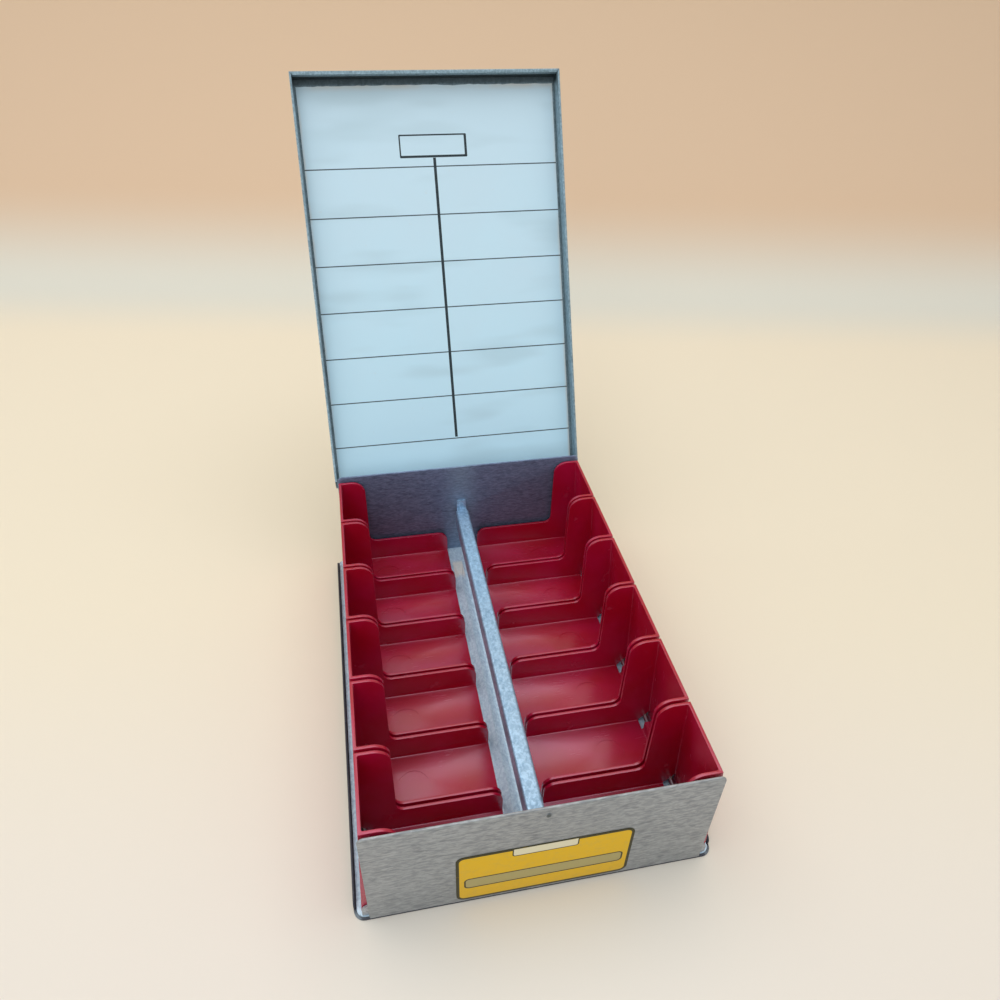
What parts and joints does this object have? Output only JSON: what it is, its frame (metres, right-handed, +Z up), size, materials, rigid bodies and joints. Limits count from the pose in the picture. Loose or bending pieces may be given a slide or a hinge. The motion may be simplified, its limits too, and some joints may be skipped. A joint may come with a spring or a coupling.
{
  "type": "slide storage file",
  "caption": "Sheet-metal file for mounted 35 mm slides: hinged lid with an index card, centre rail and two columns of tilting red plastic trays.",
  "frame": {"origin": "on the surface the file stands on, under the middle of its base", "axes": "+Z up, -Y out of the front panel, +X to the right when seen from the front; the lid stands open over +Y"},
  "size_m": [0.136, 0.2887, 0.2217],
  "materials": {
    "grey_hammertone": "grey hammertone stove enamel, fine dimpled texture, satin",
    "navy_enamel": "near-black navy enamel, satin",
    "plated_steel": "zinc plated steel wire, smooth",
    "red_plastic": "crimson moulded polystyrene, smooth, slightly glossy",
    "yellow_label": "printed label, yellow with a dark olive outline, satin",
    "card": "pale ruled index card, matte paper"
  },
  "bodies": {
    "case": {"base_pan": "navy_enamel", "floor_sheet": "grey_hammertone", "front_panel": "grey_hammertone", "back_wall": "grey_hammertone", "centre_rail": "grey_hammertone", "pivot_lugs": "grey_hammertone", "pivot_rod_left": "plated_steel", "pivot_rod_right": "plated_steel", "hinge_leaf": "grey_hammertone", "hinge_pin": "plated_steel", "label": "yellow_label"},
    "lid": {"lid": "grey_hammertone", "index_card": "card"},
    "tray_left_1": {"tray_left_1": "red_plastic"},
    "tray_left_2": {"tray_left_2": "red_plastic"},
    "tray_left_3": {"tray_left_3": "red_plastic"},
    "tray_left_4": {"tray_left_4": "red_plastic"},
    "tray_left_5": {"tray_left_5": "red_plastic"},
    "tray_left_6": {"tray_left_6": "red_plastic"},
    "tray_right_1": {"tray_right_1": "red_plastic"},
    "tray_right_2": {"tray_right_2": "red_plastic"},
    "tray_right_3": {"tray_right_3": "red_plastic"},
    "tray_right_4": {"tray_right_4": "red_plastic"},
    "tray_right_5": {"tray_right_5": "red_plastic"},
    "tray_right_6": {"tray_right_6": "red_plastic"}
  },
  "joints": [
    {"name": "lid_hinge", "type": "hinge", "parent": "case", "child": "lid", "pos_m": [0, 0.097, 0.0488], "axis": [-1, 0, 0], "range_deg": [-117, 0]},
    {"name": "tray_left_1_tilt", "type": "hinge", "parent": "case", "child": "tray_left_1", "pos_m": [-0.062, -0.07783, 0.0048], "axis": [0, -1, 0], "range_deg": [0, 30]},
    {"name": "tray_left_2_tilt", "type": "hinge", "parent": "case", "child": "tray_left_2", "pos_m": [-0.062, -0.0467, 0.0048], "axis": [0, -1, 0], "range_deg": [0, 30]},
    {"name": "tray_left_3_tilt", "type": "hinge", "parent": "case", "child": "tray_left_3", "pos_m": [-0.062, -0.01557, 0.0048], "axis": [0, -1, 0], "range_deg": [0, 30]},
    {"name": "tray_left_4_tilt", "type": "hinge", "parent": "case", "child": "tray_left_4", "pos_m": [-0.062, 0.01557, 0.0048], "axis": [0, -1, 0], "range_deg": [0, 30]},
    {"name": "tray_left_5_tilt", "type": "hinge", "parent": "case", "child": "tray_left_5", "pos_m": [-0.062, 0.0467, 0.0048], "axis": [0, -1, 0], "range_deg": [0, 30]},
    {"name": "tray_left_6_tilt", "type": "hinge", "parent": "case", "child": "tray_left_6", "pos_m": [-0.062, 0.07783, 0.0048], "axis": [0, -1, 0], "range_deg": [0, 30]},
    {"name": "tray_right_1_tilt", "type": "hinge", "parent": "case", "child": "tray_right_1", "pos_m": [0.062, -0.07783, 0.0048], "axis": [0, 1, 0], "range_deg": [0, 30]},
    {"name": "tray_right_2_tilt", "type": "hinge", "parent": "case", "child": "tray_right_2", "pos_m": [0.062, -0.0467, 0.0048], "axis": [0, 1, 0], "range_deg": [0, 30]},
    {"name": "tray_right_3_tilt", "type": "hinge", "parent": "case", "child": "tray_right_3", "pos_m": [0.062, -0.01557, 0.0048], "axis": [0, 1, 0], "range_deg": [0, 30]},
    {"name": "tray_right_4_tilt", "type": "hinge", "parent": "case", "child": "tray_right_4", "pos_m": [0.062, 0.01557, 0.0048], "axis": [0, 1, 0], "range_deg": [0, 30]},
    {"name": "tray_right_5_tilt", "type": "hinge", "parent": "case", "child": "tray_right_5", "pos_m": [0.062, 0.0467, 0.0048], "axis": [0, 1, 0], "range_deg": [0, 30]},
    {"name": "tray_right_6_tilt", "type": "hinge", "parent": "case", "child": "tray_right_6", "pos_m": [0.062, 0.07783, 0.0048], "axis": [0, 1, 0], "range_deg": [0, 30]}
  ]
}
